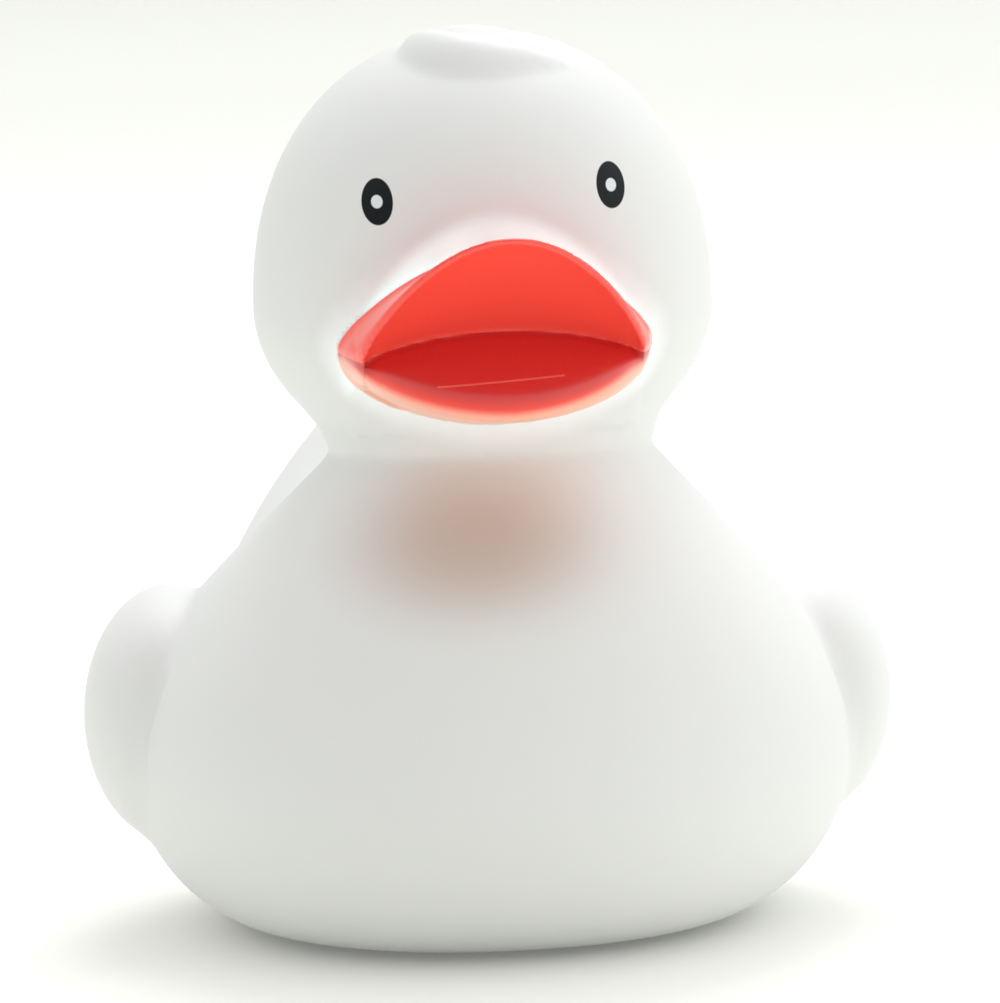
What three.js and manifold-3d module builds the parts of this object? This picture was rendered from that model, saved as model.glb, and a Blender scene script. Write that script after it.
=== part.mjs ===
// A squeaking bath duck of soft white vinyl, about 81 mm tall, with a wide open red bill.
// Millimetres, +Z up. The duck looks along -Y and rests on its flat base at z = 0.
import * as THREE from 'three';
import { ParametricGeometry } from 'three/addons/geometries/ParametricGeometry.js';
import { mergeVertices } from 'three/addons/utils/BufferGeometryUtils.js';
import Module from 'manifold-3d';

// Skin
const wall = 2;

// Body: a bell of oval sections, stacked from the base to the neck
const baseHalfWidth = 18.8;
const bodyHalfWidth = 32.8;
const bodyWidestZ = 16.2;
const neckHalfWidth = 14.1;
const neckZ = 43.8;
const neckFlare = 0.9;
const baseFront = 20;
const baseRear = 21;
const bodyFront = 36.5;
const bodyRear = 33;
const bodyDeepestZ = 17;
const neckFront = 24.5;
const neckRear = -3.5;
const neckOverlap = 1.5;
const frontFlare = 0.9;
const rearFlare = 2;
const bodySquareness = 2.15;
const bodyRowCrowding = 1.6;

// Head: an egg, boxier above the eyes than below
const headHalfWidth = 20.3;
const headHalfDepth = 20;
const headZ = 56.3;
const headAbove = 24.1;
const headBelow = 15.3;
const headY = -10.5;
const crownSquareness = 2.16;
const jawSquareness = 1.9;

// Tail: the back dips behind the neck and rises to a flattened point
const tailTip = { y: 39.7, z: 50.5 };
const backStart = { y: 0, z: 41 };
const backDip = { y: 14, z: 21.5 };
const rumpStart = { y: 22, z: 4 };
const rumpSwell = { y: 41, z: 15 };
const tailHalfWidth = 25;
const tailSpread = 3;
const tailRoundness = 0.75;
const tailRowCrowding = 1.7;

// Wings: a rounded teardrop pad on each flank
const wingFront = -13;
const wingLength = 38;
const wingHalfHeight = 11.3;
const wingHalfThickness = 7.7;
const wingZ = 19.2;
const wingRise = 2.5;
const wingOut = 29.3;
const wingTuck = 5;
const wingBluntness = 0.62;
const wingFullness = 0.6;

// Bill: an open lens-shaped mouth. Its top runs from a wide root on the head to a narrower, upturned rim
const billHalfWidth = 13.9;
const billCornerY = -24.5;
const billReach = 15.3;
const billRoot = 8;
const billZ = 53.8;
const billAbove = 10.3;
const rimHalfWidth = 12.5;
const rootAbove = 7.9;
const billBelow = 5.05;
const billChinDrop = 1.4;
const billTopLip = 0.9;
const billBottomLip = 1.9;
const mouthHalfWidth = 11.7;
const mouthZ = 53.2;
const mouthDepth = 9.2;
const mouthCreaseRise = 2.1;
const mouthPast = 1.4;

// How sharply the bill and the mouth pinch in towards their corners
const rootPinch = 0.85;
const rimPinch = 0.95;
const underPinch = 0.65;
const upturnPower = 2.2;
const chinPower = 2;
const creasePinch = 0.7;
const roofPinch = 0.95;
const floorPinch = 0.5;
const depthPinch = 0.6;
const gapePower = 0.9;

// Lock of hair on the crown: two strands that sweep from the duck's right to a shared point on its left
const strands = [
  { from: [-6.8, -13.2], by: [-3.4, -21.8], to: [7.4, -19], halfWidth: 2.5, proud: 0.9 },
  { from: [-5.5, -9.5], by: [1, -15], to: [7.4, -18.4], halfWidth: 2.9, proud: 0.8 },
];
const strandHalfHeight = 2.9;

// Squeaker, pressed into the hole in the base
const gap = 0.3;
const squeakerRadius = 6;
const squeakerHeight = 8.5;
const flangeRadius = 8;
const flangeThickness = 1;
const flangeRecess = 0.6;
const squeakerWall = 1.3;
const inletRadius = 1.5;
const reedWidth = 3;
const reedThickness = 0.3;
const reedHeight = 5;
const channelWidth = 1.8;
const channelDepth = 1.6;
const snapRing = 0.5;
const bossWidth = 3;
const bossHeight = 5;
const channelDrop = 0.9;

// Eyes: flat black ovals of paint, each with a white dot
const eyeTurn = 32.9;
const eyeZ = 66.9;
const eyeHalfWidth = 1.65;
const eyeHalfHeight = 2.15;
const eyeDot = 0.56;
const paintFilm = 0.06;
const eyeFacets = 28;
const turnedFacets = 48;

// Facets round and along each form of the skin, and of the hollow inside it
const facets = {
  body: [56, 18],
  head: [44, 20],
  tail: [32, 16],
  wing: [24, 16],
  bill: [24, 24],
  mouth: [16, 20],
  strand: [14, 12],
};
const hollowFacets = {
  body: [32, 10],
  head: [24, 12],
  tail: [20, 8],
  wing: [12, 8],
};

const paint = {
  vinyl: new THREE.MeshStandardMaterial({ color: 0xe9ebe8, roughness: 0.55, metalness: 0 }),
  red: new THREE.MeshStandardMaterial({ color: 0xd8241c, roughness: 0.35, metalness: 0 }),
  black: new THREE.MeshStandardMaterial({ color: 0x1c2226, roughness: 0.35, metalness: 0 }),
  plastic: new THREE.MeshStandardMaterial({ color: 0xf2f2ee, roughness: 0.4, metalness: 0 }),
  film: new THREE.MeshStandardMaterial({ color: 0xd9d4c4, roughness: 0.3, metalness: 0 }),
};

const wasm = await Module();
wasm.setup();

// Turns a closed geometry into a solid, without the doubled vertices and collapsed faces at seams and poles.
function solid(geometry) {
  const bare = geometry.clone();
  bare.deleteAttribute('normal');
  bare.deleteAttribute('uv');
  const merged = mergeVertices(bare, 1e-4);
  const index = merged.index.array;
  const kept = [];
  for (let i = 0; i < index.length; i += 3) {
    const [a, b, c] = [index[i], index[i + 1], index[i + 2]];
    if (a !== b && b !== c && c !== a) kept.push(a, b, c);
  }
  const build = (triVerts) => new wasm.Manifold(new wasm.Mesh({
    numProp: 3,
    vertProperties: new Float32Array(merged.attributes.position.array),
    triVerts: new Uint32Array(triVerts),
  }));
  const made = build(kept);
  return (made.volume() > 0 ? made : build(kept.reverse())).asOriginal();
}

// Gives a solid back as a geometry, with one group of faces for each painted form.
function shape(made, paintOf) {
  const mesh = made.getMesh();
  const geometry = new THREE.BufferGeometry();
  geometry.setAttribute('position', new THREE.BufferAttribute(new Float32Array(mesh.vertProperties), 3));
  geometry.setIndex(new THREE.BufferAttribute(new Uint32Array(mesh.triVerts), 1));
  if (paintOf) {
    for (let run = 0; run < mesh.runOriginalID.length; run += 1) {
      const start = mesh.runIndex[run];
      const colour = paintOf.get(mesh.runOriginalID[run]) ?? 0;
      geometry.addGroup(start, mesh.runIndex[run + 1] - start, colour);
    }
  }
  geometry.computeVertexNormals();
  return geometry;
}

// A closed skin of rings: at(turn, along) is a point, turn goes once round and along from pole to pole.
function rings(at, around, along) {
  return solid(new ParametricGeometry((u, v, point) => {
    point.copy(at(u === 1 ? 0 : 2 * Math.PI * u, v));
  }, around, along));
}

const clamp01 = (t) => Math.min(1, Math.max(0, t));

// A quarter ellipse from low at z = 0 out to full at z = top.
function bulge(low, full, z, top) {
  const t = clamp01(1 - z / top);
  return low + (full - low) * Math.sqrt(1 - t * t);
}

// A smooth shoulder from start, upright, to end, where it leans in by slope.
function shoulder(start, end, from, to, slope, z) {
  const t = clamp01((z - from) / (to - from));
  const s = t * t * (3 - 2 * t);
  return start + (end - start) * s + (t * t - t * t * t) * (to - from) * slope;
}

function reachAt(base, full, neck, fullZ, slope, z) {
  return z < fullZ ? bulge(base, full, z, fullZ) : shoulder(full, neck, fullZ, neckZ, slope, z);
}

// A point of a superellipse with half-sizes a and b.
function oval(a, b, power, angle) {
  const c = Math.cos(angle);
  const s = Math.sin(angle);
  return [
    a * Math.sign(c) * Math.abs(c) ** (2 / power),
    b * Math.sign(s) * Math.abs(s) ** (2 / power),
  ];
}

function bodySection(z) {
  const width = reachAt(baseHalfWidth, bodyHalfWidth, neckHalfWidth, bodyWidestZ, neckFlare, z);
  const front = reachAt(baseFront, bodyFront, neckFront, bodyDeepestZ, frontFlare, z);
  const rear = reachAt(baseRear, bodyRear, neckRear, bodyDeepestZ, rearFlare, z);
  return { width, depth: (front + rear) / 2, y: (rear - front) / 2 };
}

function body(inset, around, along) {
  return rings((turn, v) => {
    const t = clamp01((v * along - 1) / (along - 2));
    const z = inset + (neckZ + neckOverlap - 2 * inset) * t ** bodyRowCrowding;
    const open = v === 0 || v === 1 ? 0 : 1;
    const section = bodySection(z);
    const [x, y] = oval(section.width - inset, section.depth - inset, bodySquareness, turn);
    return new THREE.Vector3(x * open, section.y + y * open, z);
  }, around, along);
}

// Radius of the head at a height above its widest line, before it is squeezed front to back.
function headSize(inset, height) {
  const above = height > 0;
  return {
    half: (above ? headAbove : headBelow) - inset,
    power: above ? crownSquareness : jawSquareness,
  };
}

function head(inset, around, along) {
  const profile = [];
  for (let i = 0; i <= along; i += 1) {
    const angle = Math.PI * (i / along - 0.5);
    const { half, power } = headSize(inset, angle);
    const [r, z] = oval(headHalfWidth - inset, half, power, angle);
    profile.push(new THREE.Vector2(i === 0 || i === along ? 0 : r, z));
  }
  const geometry = new THREE.LatheGeometry(profile, around);
  geometry.rotateX(Math.PI / 2);
  geometry.scale(1, (headHalfDepth - inset) / (headHalfWidth - inset), 1);
  geometry.translate(0, headY, headZ);
  return solid(geometry);
}

// Height of the crown over a point of the plan.
function crownAt(x, y) {
  const r = Math.hypot(x / headHalfWidth, (y - headY) / headHalfDepth);
  return headZ + headAbove * (1 - clamp01(r) ** crownSquareness) ** (1 / crownSquareness);
}

// A loft between the line of the back and the line of the rump, which meet at the tip.
function tail(inset, around, along) {
  const line = (from, by) => new THREE.QuadraticBezierCurve(
    new THREE.Vector2(from.y, from.z),
    new THREE.Vector2(by.y, by.z),
    new THREE.Vector2(tailTip.y, tailTip.z),
  );
  const back = line(backStart, backDip);
  const rump = line(rumpStart, rumpSwell);
  return rings((turn, v) => {
    const t = 1 - (1 - v) ** tailRowCrowding;
    const high = back.getPoint(t);
    const low = rump.getPoint(t);
    const centre = high.clone().add(low).multiplyScalar(0.5);
    const across = high.clone().sub(low).multiplyScalar(0.5);
    const thick = across.length();
    const wide = tailHalfWidth * (1 - t ** tailSpread) ** tailRoundness;
    const open = v === 0 || v === 1 ? 0 : 1;
    const [x, n] = oval(Math.max(0, wide - inset) * open, Math.max(0, thick - inset) * open, 2, turn);
    across.normalize();
    return new THREE.Vector3(x, centre.x + across.x * n, centre.y + across.y * n);
  }, around, along);
}

// A teardrop from its blunt end at 0 to its point at 1.
const teardrop = (t) => Math.sin(Math.PI * clamp01(t) ** wingBluntness) ** wingFullness;

function wing(side, inset, around, along) {
  return rings((turn, v) => {
    const t = (1 - Math.cos(Math.PI * v)) / 2;
    const full = v === 0 || v === 1 ? 0 : teardrop(t);
    const [out, up] = oval(
      Math.max(0, wingHalfThickness * full - inset),
      Math.max(0, wingHalfHeight * full - inset),
      2,
      turn,
    );
    return new THREE.Vector3(
      side * (wingOut - wingTuck * t * t + out),
      wingFront + wingLength * t,
      wingZ + wingRise * t * t + up,
    );
  }, around, along);
}

// Forward limit of the bill over its width, and the share of its reach that a point has come.
const billRim = (x) => billCornerY - billReach * Math.sqrt(1 - clamp01(Math.abs(x) / billHalfWidth) ** 2);
const billForward = (x, y) => clamp01((billCornerY - y) / (billCornerY - billRim(x) + gap));
const lens = (x, half, power) => (1 - clamp01(Math.abs(x) / half) ** 2) ** power;

function billTop(x, y) {
  const root = rootAbove * lens(x, billHalfWidth, rootPinch);
  const rim = billAbove * lens(x, rimHalfWidth, rimPinch);
  return billZ + root + (rim - root) * billForward(x, y) ** upturnPower;
}

function billUnder(x, y) {
  const depth = billBelow + billChinDrop * (1 - billForward(x, y) ** chinPower);
  return billZ - depth * lens(x, billHalfWidth, underPinch);
}

// Once round the edge of a square, as shares from 0 to 1 along and across.
function square(turn) {
  const side = turn * 2 / Math.PI;
  const at = side % 1;
  return [[at, 0], [1, at], [1 - at, 1], [0, 1 - at]][Math.floor(side) % 4];
}

function bill(around, along) {
  return rings((turn, v) => {
    const x = -billHalfWidth * Math.cos(Math.PI * v);
    const [ahead, up] = v === 0 || v === 1 ? [0.5, 0.5] : square(turn);
    const back = billCornerY + billRoot;
    const y = back + (billRim(x) - back) * ahead;
    return new THREE.Vector3(x, y, billUnder(x, y) + (billTop(x, y) - billUnder(x, y)) * up);
  }, around, along);
}

// The open mouth: a wedge from the crease at its back, past the rim at its front.
function mouth(around, along) {
  return rings((turn, v) => {
    const x = -mouthHalfWidth * Math.cos(Math.PI * v);
    const [ahead, up] = v === 0 || v === 1 ? [0.5, 0.5] : square(turn);
    const share = ahead * mouthPast;
    const full = lens(x, mouthHalfWidth, 1);
    const crease = mouthZ + mouthCreaseRise * full ** creasePinch;
    const roof = mouthZ + (billZ + billAbove - billTopLip - mouthZ) * full ** roofPinch;
    const floor = mouthZ - (mouthZ - billZ + billBelow - billBottomLip) * full ** floorPinch;
    const depth = mouthDepth * full ** depthPinch + gap;
    const opened = share ** gapePower;
    return new THREE.Vector3(
      x,
      billRim(x) + depth * (1 - share),
      crease + (floor - crease) * opened + (roof - floor) * opened * up,
    );
  }, around, along);
}

// A strand lies along the crown, blunt where it starts and pointed where it ends.
function strand({ from, by, to, halfWidth, proud }, around, along) {
  const line = new THREE.QuadraticBezierCurve(
    new THREE.Vector2(...from),
    new THREE.Vector2(...by),
    new THREE.Vector2(...to),
  );
  return rings((turn, v) => {
    const t = (1 - Math.cos(Math.PI * v)) / 2;
    const full = v === 0 || v === 1 ? 0 : teardrop(t);
    const middle = line.getPoint(t);
    const ahead = line.getTangent(t);
    const [side, up] = oval(halfWidth * full, strandHalfHeight * full, 2, turn);
    const x = middle.x + ahead.y * side;
    const y = middle.y - ahead.x * side;
    return new THREE.Vector3(x, y, crownAt(x, y) + (proud - strandHalfHeight) * full + up);
  }, around, along);
}

// A standing column that faces the eye's way, to cut its oval out of a coat of paint.
function eyeColumn(side, halfWidth, halfHeight) {
  const geometry = new THREE.CylinderGeometry(1, 1, headHalfDepth, eyeFacets);
  geometry.scale(halfWidth, 1, halfHeight);
  geometry.translate(0, -headHalfDepth, 0);
  geometry.rotateZ(side * eyeTurn * Math.PI / 180);
  geometry.translate(0, headY, eyeZ);
  return solid(geometry);
}

function cylinder(radius, low, high) {
  const geometry = new THREE.CylinderGeometry(radius, radius, high - low, turnedFacets);
  geometry.rotateX(Math.PI / 2);
  geometry.translate(0, 0, (low + high) / 2);
  return solid(geometry);
}

function box(width, depth, height, x, y, z) {
  const geometry = new THREE.BoxGeometry(width, depth, height);
  geometry.translate(x, y, z);
  return solid(geometry);
}

const seatZ = flangeRecess + flangeThickness + gap;

function duckBody() {
  const sides = [-1, 1];
  const redParts = [bill(...facets.bill), mouth(...facets.mouth)];
  const coats = [1, 2].map((films) => head(-films * paintFilm, ...facets.head));
  const paintOf = new Map([
    ...redParts.map((part) => [part.originalID(), 1]),
    [coats[0].originalID(), 2],
    [coats[1].originalID(), 0],
  ]);
  let made = body(0, ...facets.body).add(head(0, ...facets.head)).add(tail(0, ...facets.tail));
  for (const lock of strands) made = made.add(strand(lock, ...facets.strand));
  let hollow = body(wall, ...hollowFacets.body)
    .add(head(wall, ...hollowFacets.head))
    .add(tail(wall, ...hollowFacets.tail));
  for (const side of sides) {
    made = made.add(wing(side, 0, ...facets.wing));
    hollow = hollow.add(wing(side, wall, ...hollowFacets.wing));
    made = made.add(coats[0].intersect(eyeColumn(side, eyeHalfWidth, eyeHalfHeight)));
    made = made.add(coats[1].intersect(eyeColumn(side, eyeDot, eyeDot)));
  }
  const boss = cylinder(flangeRadius + bossWidth, wall / 2, bossHeight);
  made = made.add(redParts[0]).subtract(redParts[1]).subtract(hollow).add(boss);
  made = made.subtract(cylinder(flangeRadius + gap, -1, seatZ));
  made = made.subtract(cylinder(squeakerRadius + gap, -1, bossHeight + 1));
  const mesh = new THREE.Mesh(shape(made, paintOf), [paint.vinyl, paint.red, paint.black]);
  mesh.name = 'duck_body';
  return mesh;
}

// A turned cup with a flange below, a snap ring above the boss and an inlet in its floor.
function squeakerCase() {
  const low = flangeRecess;
  const top = low + squeakerHeight;
  const floor = low + squeakerWall;
  const bore = squeakerRadius - squeakerWall;
  const snapZ = bossHeight + gap;
  const outline = [
    [inletRadius, low],
    [flangeRadius, low],
    [flangeRadius, low + flangeThickness],
    [squeakerRadius, low + flangeThickness],
    [squeakerRadius, snapZ],
    [squeakerRadius + snapRing, snapZ + snapRing],
    [squeakerRadius, snapZ + 2 * snapRing],
    [squeakerRadius, top],
    [bore, top],
    [bore, floor],
    [inletRadius, floor],
    [inletRadius, low],
  ];
  const geometry = new THREE.LatheGeometry(outline.map(([r, z]) => new THREE.Vector2(r, z)), turnedFacets);
  geometry.rotateX(Math.PI / 2);
  const mesh = new THREE.Mesh(shape(solid(geometry)), paint.plastic);
  mesh.name = 'squeaker_case';
  return mesh;
}

const reedSeatLow = flangeRecess + squeakerWall + gap;
const reedSeatHigh = reedSeatLow + reedHeight + 1;

// A half-round block with a channel down its flat side, for the reed to beat on.
function reedSeat() {
  const radius = squeakerRadius - squeakerWall - gap;
  const middle = (reedSeatLow + reedSeatHigh) / 2;
  const height = reedSeatHigh - reedSeatLow;
  const made = cylinder(radius, reedSeatLow, reedSeatHigh)
    .subtract(box(3 * radius, 2 * radius, 2 * height, 0, radius, middle))
    .subtract(box(channelWidth, channelDepth * 2, height, 0, 0, middle - channelDrop));
  const mesh = new THREE.Mesh(shape(made), paint.plastic);
  mesh.name = 'squeaker_reed_seat';
  return mesh;
}

function reed() {
  const y = gap + reedThickness / 2;
  const made = box(reedWidth, reedThickness, reedHeight, 0, y, (reedSeatLow + reedSeatHigh) / 2);
  const mesh = new THREE.Mesh(shape(made), paint.film);
  mesh.name = 'squeaker_reed';
  return mesh;
}

const duck = new THREE.Group();
duck.add(duckBody(), squeakerCase(), reedSeat(), reed());
export default duck;
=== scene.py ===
import math

import bpy
import numpy as np
from mathutils import Matrix, Vector


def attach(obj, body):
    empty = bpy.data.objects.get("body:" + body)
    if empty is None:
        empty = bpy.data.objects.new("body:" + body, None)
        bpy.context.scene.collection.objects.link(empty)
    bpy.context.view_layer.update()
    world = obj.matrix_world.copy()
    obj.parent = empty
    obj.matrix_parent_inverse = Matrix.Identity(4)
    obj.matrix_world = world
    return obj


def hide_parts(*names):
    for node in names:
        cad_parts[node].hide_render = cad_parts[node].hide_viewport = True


# A white squeaking bath duck. The shapes are worked out in millimetres and put into the meshes in metres.
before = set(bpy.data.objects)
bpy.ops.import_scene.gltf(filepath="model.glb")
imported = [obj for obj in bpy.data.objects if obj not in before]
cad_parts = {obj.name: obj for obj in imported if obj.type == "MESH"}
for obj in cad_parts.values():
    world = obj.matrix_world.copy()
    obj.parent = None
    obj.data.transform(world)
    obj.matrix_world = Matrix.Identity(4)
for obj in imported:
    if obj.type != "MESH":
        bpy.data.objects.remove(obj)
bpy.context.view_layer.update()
mm = 0.001
tiny = 1e-9                                      # keeps a gauge above 0 where the distance divides by it

# Shared sums


# Two solids as one: the lesser distance, lowered by a quarter of the radius where both are equal.
def blendIn(a, b, radius):
    near = np.clip(radius - np.abs(a - b), 0, None) / radius
    return np.minimum(a, b) - near * near * radius / 4


# What two solids share, with their common edge rounded over.
def keepBoth(a, b, radius):
    return -blendIn(-a, -b, radius)


# A smooth step from 0 at low to 1 at high.
def ease(low, high, value):
    t = np.clip((value - low) / (high - low), 0, 1)
    return t * t * (3 - 2 * t)


# Point at a share of the way along a curve that leaves a towards b and reaches c from b.
def bend(a, b, c, share):
    return (1 - share) ** 2 * a + 2 * share * (1 - share) * b + share ** 2 * c


# A field divided by the length of its own slope, so that near its surface it is a distance.
def evenSlope(field, x, y, z, step=0.04):
    here = field(x, y, z)
    dx = field(x + step, y, z) - here
    dy = field(x, y + step, z) - here
    dz = field(x, y, z + step) - here
    return here * step / np.sqrt(dx * dx + dy * dy + dz * dz + 1e-12)


# The moulded skin, form by form

head = {"x": 20.3, "y": 20.0, "up": 24.1, "down": 15.3, "middleY": -10.5, "middleZ": 56.3,
        "crownPower": 2.16, "jawPower": 1.9}


# Head: an egg round its widest line. Its gauge is 1 on the surface,
# and the distance is the way from the middle times 1 less 1 / gauge.
def headField(x, y, z):
    high = z - head["middleZ"]
    power = np.where(high > 0, head["crownPower"], head["jawPower"])
    half = np.where(high > 0, head["up"], head["down"])
    ring = np.sqrt((x / head["x"]) ** 2 + ((y - head["middleY"]) / head["y"]) ** 2)
    gauge = (ring ** power + np.abs(high / half) ** power) ** (1 / power) + tiny
    out = np.sqrt(x ** 2 + (y - head["middleY"]) ** 2 + high ** 2)
    return out * (1 - 1 / gauge)


body = {"neckZ": 43.8, "top": 45.3, "topEdge": 1.0, "power": 2.15,
        "side": {"base": 18.8, "full": 32.8, "neck": 14.1, "fullZ": 16.2, "flare": 0.9},
        "front": {"base": 20.0, "full": 36.5, "neck": 24.5, "fullZ": 17.0, "flare": 0.9},
        "rear": {"base": 21.0, "full": 33.0, "neck": -3.5, "fullZ": 17.0, "flare": 2.0}}


# Reach of the body at a height: a quarter ellipse up to the widest line,
# then a smooth shoulder in to the neck, which the flare pushes out before it gets there.
def reach(profile, z):
    low = np.clip(1 - z / profile["fullZ"], 0, 1)
    belly = profile["base"] + (profile["full"] - profile["base"]) * np.sqrt(1 - low * low)
    span = body["neckZ"] - profile["fullZ"]
    t = np.clip((z - profile["fullZ"]) / span, 0, 1)
    shoulder = profile["full"] + (profile["neck"] - profile["full"]) * ease(0, 1, t)
    return np.where(z < profile["fullZ"], belly, shoulder + (t * t - t ** 3) * span * profile["flare"])


# Body: superellipse sections stacked from the base to the neck.
def bodyField(x, y, z):
    front = reach(body["front"], z)
    rear = reach(body["rear"], z)
    middle = y - (rear - front) / 2
    gauge = (np.abs(x / reach(body["side"], z)) ** body["power"]
             + np.abs(middle * 2 / (front + rear)) ** body["power"]) ** (1 / body["power"]) + tiny
    return np.sqrt(x ** 2 + middle ** 2) * (1 - 1 / gauge)


tail = {"tip": (39.7, 50.5), "back": ((0, 41), (14, 21.5)), "rump": ((22, 4), (41, 15)), "half": 25.0,
        "spread": 3.0, "round": 0.75, "fade": 12.0, "last": 0.985, "halvings": 26}


# Points (y, z) of the tail's back line and of its rump line at a share of their way to the tip.
def tailLines(share):
    lines = []
    for start, middle in (tail["back"], tail["rump"]):
        lines += [bend(a, b, c, share) for a, b, c in zip(start, middle, tail["tip"])]
    return lines


# How far a point lies behind the chord between the two lines at a share, times the length of the chord.
def behindChord(y, z, share):
    backY, backZ, rumpY, rumpZ = tailLines(share)
    return (y - (backY + rumpY) / 2) * (backZ - rumpZ) - (z - (backZ + rumpZ) / 2) * (backY - rumpY)


# How far a point lies behind the flat start of the tail, which is buried in the body.
def behindTailStart(y, z):
    backY, backZ, rumpY, rumpZ = tailLines(0)
    return behindChord(y, z, 0) / math.hypot(backY - rumpY, backZ - rumpZ)


# Tail: an oval on the chord that passes through the point, whose share is found by halving.
# Its half width is half * (1 - share ** spread) ** round.
def tailField(x, y, z):
    low, high = np.zeros_like(x), np.full_like(x, tail["last"])
    for _ in range(tail["halvings"]):
        half = (low + high) / 2
        before = behindChord(y, z, half) < 0
        low, high = np.where(before, low, half), np.where(before, half, high)
    share = (low + high) / 2
    backY, backZ, rumpY, rumpZ = tailLines(share)
    offY, offZ = y - (backY + rumpY) / 2, z - (backZ + rumpZ) / 2
    thick = np.hypot(backY - rumpY, backZ - rumpZ) / 2
    wide = tail["half"] * (1 - share ** tail["spread"]) ** tail["round"]
    gauge = np.sqrt((x / wide) ** 2 + (offY ** 2 + offZ ** 2) / thick ** 2) + tiny
    oval = np.sqrt(x ** 2 + offY ** 2 + offZ ** 2) * (1 - 1 / gauge)
    return np.maximum(oval, -behindTailStart(y, z))


blunt = {"start": 0.62, "full": 0.6}


# Thickness along a wing or a strand, 0 at its ends: a power of a sine, blunt in front and drawn out behind.
def bluntSize(share, least):
    return np.sin(np.pi * share ** blunt["start"]).clip(0) ** blunt["full"] + least


wing = {"front": -13.0, "length": 38.0, "high": 11.3, "thick": 7.7, "z": 19.2, "rise": 2.5, "out": 29.3,
        "tuck": 5.0, "least": 1e-4}


# Wing: an oval section on a line that tucks in and rises with the square of its share.
def wingField(x, y, z):
    share = np.clip((y - wing["front"]) / wing["length"], 0, 1)
    size = bluntSize(share, wing["least"])
    out = np.abs(x) - (wing["out"] - wing["tuck"] * share * share)
    up = z - wing["z"] - wing["rise"] * share * share
    past = y - wing["front"] - wing["length"] * share
    gauge = np.sqrt((out / wing["thick"]) ** 2 + (up / wing["high"]) ** 2) / size + tiny
    return np.sqrt(out ** 2 + up ** 2) * (1 - 1 / gauge) + np.abs(past)


bill = {"half": 13.9, "cornerY": -24.5, "reach": 15.3, "z": 53.8, "back": -17.0, "backEdge": 0.2,
        "below": 5.05, "underPinch": 0.65, "chin": 1.4, "rootAbove": 7.7, "rootPinch": 0.9,
        "rimAbove": 10.3, "rimHalf": 12.5, "rimPinch": 0.87, "rimBack": 0.4, "pastRim": 1.2, "upturn": 2.2,
        "shift": 0.35, "lean": 0.023, "topEdge": 0.28, "lipEdge": 1.8, "sideEdge": 2.0}


# Lens across the width: 1 in the middle, falling to 0 at the half width.
def lens(x, half, power):
    return (1 - np.clip(np.abs(x) / half, 0, 1) ** 2) ** power


# Where a point lies across the bill, whose root sits a little towards the duck's right and whose rim doesn't.
def billX(x, y):
    return x + bill["shift"] - bill["lean"] * np.clip(bill["cornerY"] - y, 0, None)


# Rim of the bill in the plan: half an ellipse that reaches forward from the corners.
def billRim(x):
    return bill["cornerY"] - bill["reach"] * lens(x, bill["half"], 0.5)


# Height of the upturned rim above the corners of the bill. The mouth's rim is inset from it by a lip.
def rimHeight(x, lip=0.0, lipSide=0.0):
    return (bill["rimAbove"] - lip) * lens(x, bill["rimHalf"] - lipSide, bill["rimPinch"])


# Top and under surfaces of the bill: the top passes from the wide root to the rim, the under side sags.
def billShell(x, y):
    ahead = (bill["cornerY"] - y) / (bill["cornerY"] - billRim(x) + bill["rimBack"])
    ahead = np.clip(ahead, 0, bill["pastRim"])
    root = bill["rootAbove"] * lens(x, bill["half"], bill["rootPinch"])
    top = bill["z"] + root + (rimHeight(x) - root) * ahead ** bill["upturn"]
    sag = bill["below"] + bill["chin"] * (1 - np.clip(ahead, 0, 1) ** 2)
    return top, bill["z"] - sag * lens(x, bill["half"], bill["underPinch"])


# Distance below the bill's under side, above 0 outside the bill.
def underBill(x, y, z):
    return evenSlope(lambda a, b, c: billShell(a, b)[1] - c, x, y, z)


# Bill before its mouth is cut: the top and the rounded lower lip, closed at its sides and behind.
def billField(x, y, z):
    x = billX(x, y)
    over = evenSlope(lambda a, b, c: c - billShell(a, b)[0], x, y, z)
    front = evenSlope(lambda a, b, c: billRim(a) - b, x, y, z)
    lip = keepBoth(underBill(x, y, z), front, bill["lipEdge"])
    shell = keepBoth(keepBoth(over, lip, bill["topEdge"]), np.abs(x) - bill["half"], bill["sideEdge"])
    return keepBoth(shell, y - bill["back"], bill["backEdge"])


mouth = {"half": 11.8, "z": 53.2, "depth": 9.2, "depthPower": 0.6, "leastDepth": 0.3, "crease": 2.1,
         "creasePower": 0.85, "lip": 0.62, "lipSide": 0.6, "roofFade": (-0.5, -1.0), "bowl": 0.3,
         "floor": 3.1, "floorHalf": 12.7, "floorPower": 0.9, "roofEdge": 0.22, "floorEdge": (0.15, 2.2),
         "creaseEdge": (0.03, 0.63), "edgeFade": (-0.2, -1.5), "creaseFade": (-0.2, 0.1)}
groove = {"end": 13.7, "rise": 0.5, "gape": 0.22, "depth": 0.9, "grow": (-1.5, 0.5), "fade": 1.0}


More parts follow.
